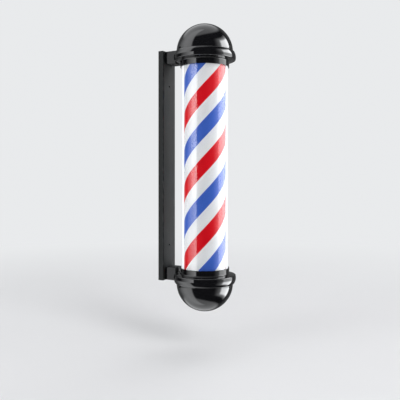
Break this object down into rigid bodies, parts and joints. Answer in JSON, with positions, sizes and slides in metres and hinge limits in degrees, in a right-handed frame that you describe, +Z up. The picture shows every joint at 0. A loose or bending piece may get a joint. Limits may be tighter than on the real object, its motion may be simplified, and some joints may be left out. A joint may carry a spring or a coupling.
{
  "type": "barber pole light",
  "caption": "Wall-mounted barber pole light: clear tube with a turning helical striped drum, gloss black ringed dome caps and a narrow black wall channel",
  "frame": {"origin": "the middle of the wall channel's back face, on the wall and midway between the two wall screws", "axes": "+Z up along the pole, +Y into the wall, -Y to the front of the pole"},
  "size_m": [0.152, 0.1945, 0.7],
  "materials": {
    "satin_black_steel": "satin powder coat",
    "gloss_black_enamel": "gloss stove enamel",
    "gloss_black_plastic": "piano gloss",
    "clear_acrylic": "clear, polished",
    "black_rubber": "moulded",
    "opal_plastic": "opal, lit from inside",
    "printed_film": "satin print in red, white and blue",
    "white_nylon": "moulded",
    "white_plastic": "moulded",
    "brass": "cut teeth",
    "dark_steel": "ground",
    "motor_steel": "zinc-plated pressing",
    "zinc_steel": "zinc plated",
    "black_screws": "black oxide",
    "aluminium": "mill finish",
    "white_board": "white solder mask",
    "led_phosphor": "phosphor lens",
    "circuit_board": "solder mask",
    "lead_sheath": "soft sheath"
  },
  "bodies": {
    "frame": {"centre_spindle": "zinc_steel", "clear_tube": "clear_acrylic", "driver_board": "circuit_board", "driver_case": "white_plastic", "driver_lead": "lead_sheath", "driver_lid": "white_plastic", "driver_screws": "zinc_steel", "led_bars": "white_board", "led_chips": "led_phosphor", "light_core": "aluminium", "lower_arm": "gloss_black_enamel", "lower_arm_bolts": "zinc_steel", "lower_collar": "gloss_black_plastic", "lower_core_cap": "white_plastic", "lower_dome": "gloss_black_plastic", "lower_dome_screws": "black_screws", "lower_mounting_plate": "zinc_steel", "lower_plate_screws": "zinc_steel", "lower_spindle_nuts": "zinc_steel", "lower_thrust_washer": "zinc_steel", "lower_tube_seal": "black_rubber", "motor_case": "motor_steel", "motor_cover": "motor_steel", "motor_lead": "lead_sheath", "motor_screws": "zinc_steel", "supply_grommet": "black_rubber", "terminal_block": "white_plastic", "terminal_screws": "zinc_steel", "upper_arm": "gloss_black_enamel", "upper_arm_bolts": "zinc_steel", "upper_collar": "gloss_black_plastic", "upper_core_cap": "white_plastic", "upper_dome": "gloss_black_plastic", "upper_dome_screws": "black_screws", "upper_mounting_plate": "zinc_steel", "upper_plate_screws": "zinc_steel", "upper_spindle_nuts": "zinc_steel", "upper_thrust_washer": "zinc_steel", "upper_tube_seal": "black_rubber", "wall_channel": "satin_black_steel", "wall_screw_spacers": "zinc_steel"},
    "drum": {"drum_shell": "opal_plastic", "stripe_film": "printed_film", "upper_drum_hub": "white_nylon", "lower_drum_hub": "white_nylon", "upper_drum_bush": "white_nylon", "lower_drum_bush": "white_nylon", "ring_gear": "white_nylon", "ring_gear_screws": "zinc_steel"},
    "pinion": {"drive_pinion": "brass", "pinion_grub_screw": "dark_steel", "motor_shaft": "dark_steel"}
  },
  "joints": [
    {"name": "drum_spin", "type": "hinge", "parent": "frame", "child": "drum", "pos_m": [0, -0.1185, -0.005], "axis": [0, 0, 1], "continuous": true},
    {"name": "pinion_spin", "type": "hinge", "parent": "frame", "child": "pinion", "pos_m": [0.032, -0.1185, -0.26], "axis": [0, 0, 1], "continuous": true}
  ],
  "couplings": [
    {"joint": "pinion_spin", "follows": "drum_spin", "ratio": 5}
  ]
}
